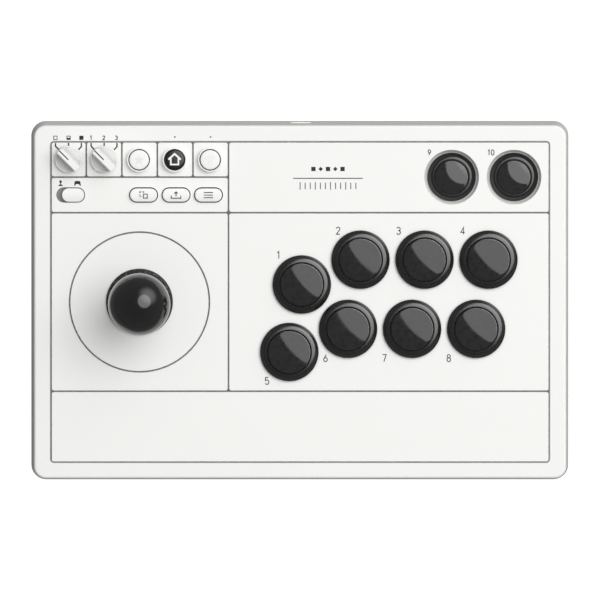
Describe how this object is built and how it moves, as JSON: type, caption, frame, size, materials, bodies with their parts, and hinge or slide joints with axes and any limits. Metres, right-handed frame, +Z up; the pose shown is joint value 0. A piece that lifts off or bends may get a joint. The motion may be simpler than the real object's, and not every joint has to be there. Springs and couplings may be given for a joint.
{
  "type": "arcade joystick panel",
  "caption": "Tabletop arcade control panel: a ball-top lever stick, domed push-buttons, small keys, two selector knobs and a slide switch on a flat rectangular case.",
  "frame": {"origin": "centre of the footprint, on the table under the rubber feet", "axes": "+X to the player's right, +Y away from the player towards the charging port, +Z up"},
  "size_m": [0.303, 0.2025, 0.112],
  "materials": {
    "case_white": "fine satin texture",
    "faceplate_white": "satin",
    "base_steel": "powder coated",
    "screw_steel": "zinc plated",
    "foot_rubber": "matte",
    "light_pipe_clear": "clear moulded",
    "ball_black": "polished",
    "shaft_steel": "bright plated",
    "washer_black": "fine texture",
    "plate_steel": "zinc plated",
    "housing_black": "satin",
    "nylon_white": "natural",
    "spring_steel": "bright",
    "board_green": "solder mask",
    "switch_black": "satin",
    "rim_black": "gloss",
    "plunger_black": "gloss",
    "key_white": "satin",
    "key_black": "gloss",
    "port_steel": "plated",
    "battery_wrap": "shrink wrap",
    "wire_mixed": "sleeved"
  },
  "bodies": {
    "case": {"top_case": "case_white", "faceplate": "faceplate_white", "base_plate": "base_steel", "base_screws": "screw_steel", "rubber_feet": "foot_rubber", "light_pipes": "light_pipe_clear", "stick_plate": "plate_steel", "stick_screws": "screw_steel", "stick_housing": "housing_black", "restrictor_gate": "housing_black", "stick_switch_board": "board_green", "stick_microswitches": "switch_black", "button_1_housing": "rim_black", "button_2_housing": "rim_black", "button_3_housing": "rim_black", "button_4_housing": "rim_black", "button_5_housing": "rim_black", "button_6_housing": "rim_black", "button_7_housing": "rim_black", "button_8_housing": "rim_black", "small_button_1_housing": "rim_black", "small_button_2_housing": "rim_black", "button_microswitches": "switch_black", "key_switches": "switch_black", "selector_switches": "switch_black", "control_board": "board_green", "board_screws": "screw_steel", "main_board": "board_green", "usb_port": "port_steel", "battery_pack": "battery_wrap", "wiring_harness": "wire_mixed"},
    "ring": {"pivot_ring": "nylon_white"},
    "lever": {"pivot_collar": "shaft_steel", "lever_shaft": "shaft_steel", "ball_top": "ball_black", "actuator": "nylon_white", "e_clip": "spring_steel", "spring_cup": "nylon_white", "return_spring": "spring_steel"},
    "lower_washer": {"lower_dust_washer": "washer_black"},
    "washer": {"dust_washer": "washer_black"},
    "button_1": {"button_1_plunger": "plunger_black"},
    "button_2": {"button_2_plunger": "plunger_black"},
    "button_3": {"button_3_plunger": "plunger_black"},
    "button_4": {"button_4_plunger": "plunger_black"},
    "button_5": {"button_5_plunger": "plunger_black"},
    "button_6": {"button_6_plunger": "plunger_black"},
    "button_7": {"button_7_plunger": "plunger_black"},
    "button_8": {"button_8_plunger": "plunger_black"},
    "small_button_1": {"small_button_1_plunger": "plunger_black"},
    "small_button_2": {"small_button_2_plunger": "plunger_black"},
    "left_dial": {"left_knob": "key_white"},
    "right_dial": {"right_knob": "key_white"},
    "slide_switch": {"slide_switch_knob": "key_white"},
    "star_key": {"star_button": "key_white"},
    "home_key": {"home_button": "key_black"},
    "profile_key": {"profile_button": "key_white"},
    "view_key": {"view_button": "key_white"},
    "share_key": {"share_button": "key_white"},
    "menu_key": {"menu_button": "key_white"}
  },
  "joints": [
    {"name": "stick_forward_back", "type": "hinge", "parent": "case", "child": "ring", "pos_m": [-0.0903, 0, 0.038], "axis": [-1, 0, 0], "range_deg": [-9, 9], "stiffness_Nm_per_rad": 0.08},
    {"name": "stick_left_right", "type": "hinge", "parent": "ring", "child": "lever", "pos_m": [-0.0903, 0, 0.038], "axis": [0, 1, 0], "range_deg": [-9, 9], "stiffness_Nm_per_rad": 0.08},
    {"name": "lower_washer_slide", "type": "slide", "parent": "case", "child": "lower_washer", "axis": [1, 0, 0], "range_m": [-0.003, 0.003]},
    {"name": "dust_washer_slide", "type": "slide", "parent": "lower_washer", "child": "washer", "axis": [0, 1, 0], "range_m": [-0.003, 0.003]},
    {"name": "button_1_press", "type": "slide", "parent": "case", "child": "button_1", "axis": [0, 0, -1], "range_m": [0, 0.003], "stiffness_N_per_m": 150, "springref_m": -0.001},
    {"name": "button_2_press", "type": "slide", "parent": "case", "child": "button_2", "axis": [0, 0, -1], "range_m": [0, 0.003], "stiffness_N_per_m": 150, "springref_m": -0.001},
    {"name": "button_3_press", "type": "slide", "parent": "case", "child": "button_3", "axis": [0, 0, -1], "range_m": [0, 0.003], "stiffness_N_per_m": 150, "springref_m": -0.001},
    {"name": "button_4_press", "type": "slide", "parent": "case", "child": "button_4", "axis": [0, 0, -1], "range_m": [0, 0.003], "stiffness_N_per_m": 150, "springref_m": -0.001},
    {"name": "button_5_press", "type": "slide", "parent": "case", "child": "button_5", "axis": [0, 0, -1], "range_m": [0, 0.003], "stiffness_N_per_m": 150, "springref_m": -0.001},
    {"name": "button_6_press", "type": "slide", "parent": "case", "child": "button_6", "axis": [0, 0, -1], "range_m": [0, 0.003], "stiffness_N_per_m": 150, "springref_m": -0.001},
    {"name": "button_7_press", "type": "slide", "parent": "case", "child": "button_7", "axis": [0, 0, -1], "range_m": [0, 0.003], "stiffness_N_per_m": 150, "springref_m": -0.001},
    {"name": "button_8_press", "type": "slide", "parent": "case", "child": "button_8", "axis": [0, 0, -1], "range_m": [0, 0.003], "stiffness_N_per_m": 150, "springref_m": -0.001},
    {"name": "small_button_1_press", "type": "slide", "parent": "case", "child": "small_button_1", "axis": [0, 0, -1], "range_m": [0, 0.003], "stiffness_N_per_m": 120, "springref_m": -0.001},
    {"name": "small_button_2_press", "type": "slide", "parent": "case", "child": "small_button_2", "axis": [0, 0, -1], "range_m": [0, 0.003], "stiffness_N_per_m": 120, "springref_m": -0.001},
    {"name": "left_dial_turn", "type": "hinge", "parent": "case", "child": "left_dial", "pos_m": [-0.13015, 0.0803, 0.055], "axis": [0, 0, 1], "range_deg": [-90, 0]},
    {"name": "right_dial_turn", "type": "hinge", "parent": "case", "child": "right_dial", "pos_m": [-0.11025, 0.0803, 0.055], "axis": [0, 0, 1], "range_deg": [-90, 0]},
    {"name": "slide_switch_move", "type": "slide", "parent": "case", "child": "slide_switch", "axis": [-1, 0, 0], "range_m": [0, 0.0032]},
    {"name": "star_press", "type": "slide", "parent": "case", "child": "star_key", "axis": [0, 0, -1], "range_m": [0, 0.0009], "stiffness_N_per_m": 120, "springref_m": -0.001},
    {"name": "home_press", "type": "slide", "parent": "case", "child": "home_key", "axis": [0, 0, -1], "range_m": [0, 0.0009], "stiffness_N_per_m": 120, "springref_m": -0.001},
    {"name": "profile_press", "type": "slide", "parent": "case", "child": "profile_key", "axis": [0, 0, -1], "range_m": [0, 0.0009], "stiffness_N_per_m": 120, "springref_m": -0.001},
    {"name": "view_press", "type": "slide", "parent": "case", "child": "view_key", "axis": [0, 0, -1], "range_m": [0, 0.0009], "stiffness_N_per_m": 120, "springref_m": -0.001},
    {"name": "share_press", "type": "slide", "parent": "case", "child": "share_key", "axis": [0, 0, -1], "range_m": [0, 0.0009], "stiffness_N_per_m": 120, "springref_m": -0.001},
    {"name": "menu_press", "type": "slide", "parent": "case", "child": "menu_key", "axis": [0, 0, -1], "range_m": [0, 0.0009], "stiffness_N_per_m": 120, "springref_m": -0.001}
  ],
  "couplings": [
    {"joint": "lower_washer_slide", "follows": "stick_left_right", "m_per_rad": 0.0181},
    {"joint": "dust_washer_slide", "follows": "stick_forward_back", "m_per_rad": 0.0181}
  ]
}
